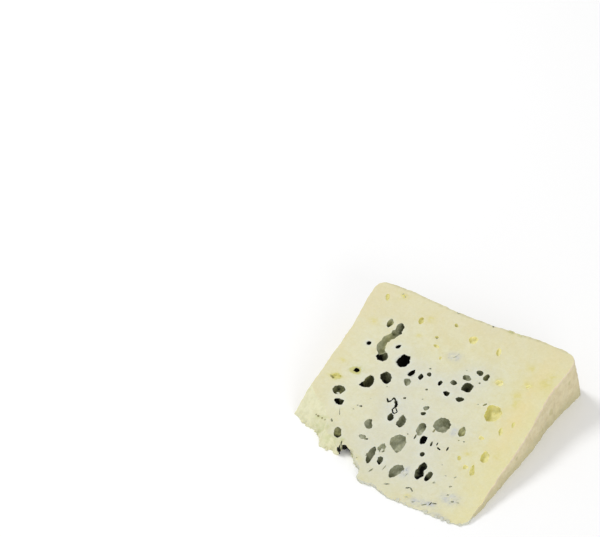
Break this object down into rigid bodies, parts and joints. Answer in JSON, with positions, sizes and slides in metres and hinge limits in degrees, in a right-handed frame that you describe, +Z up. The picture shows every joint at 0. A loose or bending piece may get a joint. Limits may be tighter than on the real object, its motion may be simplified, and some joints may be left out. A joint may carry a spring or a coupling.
{
  "type": "blue cheese wedge",
  "caption": "Thin wedge cut from a drum-shaped blue cheese, lying on one cut face, with mould-lined holes, a pale rind along its wide end and side, and a crumbled tip.",
  "frame": {"origin": "middle of the lower cut face's box, on the surface that the wedge lies on", "axes": "+X along the axle of the wheel, from its left flat rind to its right one; +Y from the tip out to the rim; +Z up"},
  "size_m": [0.0952, 0.1018, 0.0216],
  "materials": {
    "cheese": "moist satin cream paste with grey-green mould in the holes and a beige rind"
  },
  "bodies": {
    "root": {"cheese_wedge": "cheese"}
  },
  "joints": []
}
